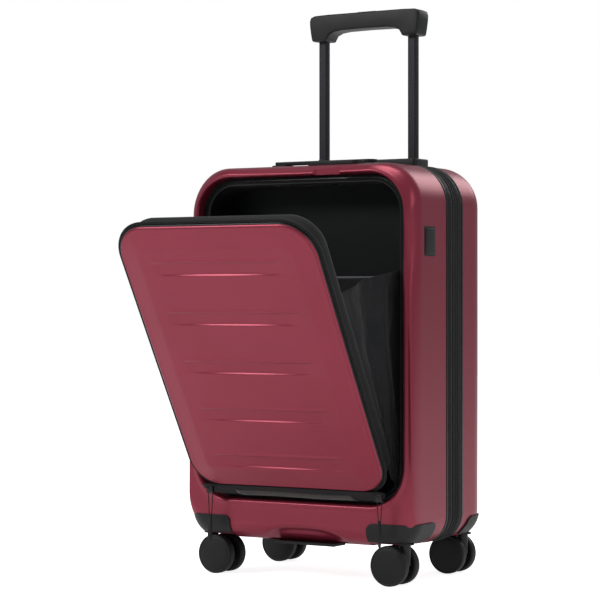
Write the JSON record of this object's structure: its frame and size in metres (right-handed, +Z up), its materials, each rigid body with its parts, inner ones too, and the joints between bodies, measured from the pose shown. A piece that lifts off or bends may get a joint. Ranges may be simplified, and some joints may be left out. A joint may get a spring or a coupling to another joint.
{
  "type": "hardshell spinner suitcase",
  "caption": "Upright carry-on suitcase with moulded shells, a flip-down front lid, an expanding zip band, a trolley handle and double casters.",
  "frame": {"origin": "on the floor under the middle of the closed case, between the casters", "axes": "+X to the case's right seen from the front, -Y out of the front lid, +Z up"},
  "size_m": [0.3553, 0.4309, 0.7735],
  "materials": {
    "shell": "satin moulded polycarbonate, metallic burgundy",
    "black_plastic": "satin black moulded plastic",
    "button_plastic": "matt black moulded plastic",
    "dial_plastic": "matt dial wheels",
    "zip_tape": "woven zip tape with a plastic coil",
    "band_fabric": "black woven polyester",
    "lining_fabric": "thin black woven lining",
    "tube_metal": "dark anodised aluminium",
    "zip_metal": "black plated zinc",
    "cord": "thin braided cord",
    "rubber": "soft black rubber",
    "wheel": "black polyurethane tyre on a plastic disc"
  },
  "bodies": {
    "rear_half": {"rear_shell": "shell", "rear_trim": "black_plastic", "expander_zip": "zip_tape", "expansion_gusset": "band_fabric", "main_zip_rear": "zip_tape", "rear_lining": "lining_fabric", "side_hinge_strip": "band_fabric", "outer_tubes": "tube_metal", "trolley_bezel": "black_plastic", "trolley_foot": "black_plastic", "packing_straps": "band_fabric", "strap_buckle": "black_plastic", "rear_corner_guards": "black_plastic"},
    "front_half": {"front_shell": "shell", "front_trim": "black_plastic", "main_zip_front": "zip_tape", "compartment_lining": "lining_fabric", "divider_panel": "lining_fabric", "laptop_sleeve": "lining_fabric", "opening_flange": "band_fabric", "opening_zip": "zip_tape", "side_gussets": "band_fabric", "lid_hinge_strip": "band_fabric", "front_corner_guards": "black_plastic", "socket_housing": "black_plastic", "lock_housing": "black_plastic", "handle_mounts": "black_plastic", "lid_sliders": "zip_metal", "pull_cords": "cord", "pull_tubes": "rubber", "scuff_plate": "black_plastic"},
    "lid": {"lid_panel": "shell", "lid_rim": "band_fabric", "lid_zip": "zip_tape", "lid_lining": "lining_fabric"},
    "trolley_middle": {"middle_tubes": "tube_metal"},
    "trolley_inner": {"inner_tubes": "tube_metal", "grip": "black_plastic"},
    "grip_button": {"grip_button": "button_plastic"},
    "carry_handle": {"carry_handle": "black_plastic"},
    "socket_flap": {"socket_flap": "rubber"},
    "lock_dial_1": {"lock_dial_1": "dial_plastic"},
    "lock_dial_2": {"lock_dial_2": "dial_plastic"},
    "lock_dial_3": {"lock_dial_3": "dial_plastic"},
    "lock_button": {"lock_button": "zip_metal"},
    "main_slider_left": {"main_slider_left": "zip_metal"},
    "main_slider_right": {"main_slider_right": "zip_metal"},
    "expander_slider": {"expander_slider": "zip_metal"},
    "caster_front_left": {"caster_fork_front_left": "black_plastic"},
    "wheel_front_left_outer": {"caster_wheel_front_left_outer": "wheel"},
    "wheel_front_left_inner": {"caster_wheel_front_left_inner": "wheel"},
    "caster_front_right": {"caster_fork_front_right": "black_plastic"},
    "wheel_front_right_outer": {"caster_wheel_front_right_outer": "wheel"},
    "wheel_front_right_inner": {"caster_wheel_front_right_inner": "wheel"},
    "caster_rear_left": {"caster_fork_rear_left": "black_plastic"},
    "wheel_rear_left_outer": {"caster_wheel_rear_left_outer": "wheel"},
    "wheel_rear_left_inner": {"caster_wheel_rear_left_inner": "wheel"},
    "caster_rear_right": {"caster_fork_rear_right": "black_plastic"},
    "wheel_rear_right_outer": {"caster_wheel_rear_right_outer": "wheel"},
    "wheel_rear_right_inner": {"caster_wheel_rear_right_inner": "wheel"}
  },
  "joints": [
    {"name": "front_half_hinge", "type": "hinge", "parent": "rear_half", "child": "front_half", "pos_m": [-0.1765, -0.002, 0.3], "axis": [0, 0, -1], "range_deg": [0, 150], "deforming": ["side_hinge_strip"]},
    {"name": "lid_hinge", "type": "hinge", "parent": "front_half", "child": "lid", "pos_m": [0, -0.0886, 0.0872], "axis": [1, 0, 0], "range_deg": [-30, 0], "deforming": ["side_gussets", "lid_hinge_strip"]},
    {"name": "trolley_middle_slide", "type": "slide", "parent": "rear_half", "child": "trolley_middle", "axis": [0, 0, 1], "range_m": [0, 0.2]},
    {"name": "trolley_inner_slide", "type": "slide", "parent": "trolley_middle", "child": "trolley_inner", "axis": [0, 0, 1], "range_m": [-0.168, 0.09]},
    {"name": "grip_button_press", "type": "slide", "parent": "trolley_inner", "child": "grip_button", "axis": [0, 0, 1], "range_m": [-0.004, 0], "stiffness_N_per_m": 400, "springref_m": 0.001},
    {"name": "carry_handle_lift", "type": "slide", "parent": "front_half", "child": "carry_handle", "axis": [0, 0, 1], "range_m": [0, 0.014]},
    {"name": "socket_flap_hinge", "type": "hinge", "parent": "front_half", "child": "socket_flap", "pos_m": [0.1754, -0.059, 0.4667], "axis": [0, -1, 0], "range_deg": [0, 120]},
    {"name": "lock_button_press", "type": "slide", "parent": "front_half", "child": "lock_button", "axis": [0, 0, 1], "range_m": [-0.0015, 0], "stiffness_N_per_m": 300, "springref_m": 0.0005},
    {"name": "main_slider_left_run", "type": "slide", "parent": "front_half", "child": "main_slider_left", "axis": [-1, 0, 0], "range_m": [0, 0.14]},
    {"name": "main_slider_right_run", "type": "slide", "parent": "front_half", "child": "main_slider_right", "axis": [1, 0, 0], "range_m": [0, 0.03]},
    {"name": "expander_slider_run", "type": "slide", "parent": "rear_half", "child": "expander_slider", "axis": [0, 0, 1], "range_m": [0, 0.19]},
    {"name": "lock_dial_1_turn", "type": "hinge", "parent": "front_half", "child": "lock_dial_1", "pos_m": [0.04, -0.0665, 0.55], "axis": [1, 0, 0], "continuous": true},
    {"name": "lock_dial_2_turn", "type": "hinge", "parent": "front_half", "child": "lock_dial_2", "pos_m": [0.05, -0.0665, 0.55], "axis": [1, 0, 0], "continuous": true},
    {"name": "lock_dial_3_turn", "type": "hinge", "parent": "front_half", "child": "lock_dial_3", "pos_m": [0.06, -0.0665, 0.55], "axis": [1, 0, 0], "continuous": true},
    {"name": "caster_front_left_swivel", "type": "hinge", "parent": "front_half", "child": "caster_front_left", "pos_m": [-0.15, -0.08, 0.05], "axis": [0, 0, 1], "continuous": true},
    {"name": "wheel_front_left_outer_roll", "type": "hinge", "parent": "caster_front_left", "child": "wheel_front_left_outer", "pos_m": [-0.135, -0.0942, 0.0265], "axis": [0, 1, 0], "continuous": true},
    {"name": "wheel_front_left_inner_roll", "type": "hinge", "parent": "caster_front_left", "child": "wheel_front_left_inner", "pos_m": [-0.135, -0.0658, 0.0265], "axis": [0, 1, 0], "continuous": true},
    {"name": "caster_front_right_swivel", "type": "hinge", "parent": "front_half", "child": "caster_front_right", "pos_m": [0.15, -0.08, 0.05], "axis": [0, 0, 1], "continuous": true},
    {"name": "wheel_front_right_outer_roll", "type": "hinge", "parent": "caster_front_right", "child": "wheel_front_right_outer", "pos_m": [0.135, -0.0942, 0.0265], "axis": [0, 1, 0], "continuous": true},
    {"name": "wheel_front_right_inner_roll", "type": "hinge", "parent": "caster_front_right", "child": "wheel_front_right_inner", "pos_m": [0.135, -0.0658, 0.0265], "axis": [0, 1, 0], "continuous": true},
    {"name": "caster_rear_left_swivel", "type": "hinge", "parent": "rear_half", "child": "caster_rear_left", "pos_m": [-0.15, 0.08, 0.05], "axis": [0, 0, 1], "continuous": true},
    {"name": "wheel_rear_left_outer_roll", "type": "hinge", "parent": "caster_rear_left", "child": "wheel_rear_left_outer", "pos_m": [-0.135, 0.0942, 0.0265], "axis": [0, 1, 0], "continuous": true},
    {"name": "wheel_rear_left_inner_roll", "type": "hinge", "parent": "caster_rear_left", "child": "wheel_rear_left_inner", "pos_m": [-0.135, 0.0658, 0.0265], "axis": [0, 1, 0], "continuous": true},
    {"name": "caster_rear_right_swivel", "type": "hinge", "parent": "rear_half", "child": "caster_rear_right", "pos_m": [0.15, 0.08, 0.05], "axis": [0, 0, 1], "continuous": true},
    {"name": "wheel_rear_right_outer_roll", "type": "hinge", "parent": "caster_rear_right", "child": "wheel_rear_right_outer", "pos_m": [0.135, 0.0942, 0.0265], "axis": [0, 1, 0], "continuous": true},
    {"name": "wheel_rear_right_inner_roll", "type": "hinge", "parent": "caster_rear_right", "child": "wheel_rear_right_inner", "pos_m": [0.135, 0.0658, 0.0265], "axis": [0, 1, 0], "continuous": true}
  ]
}
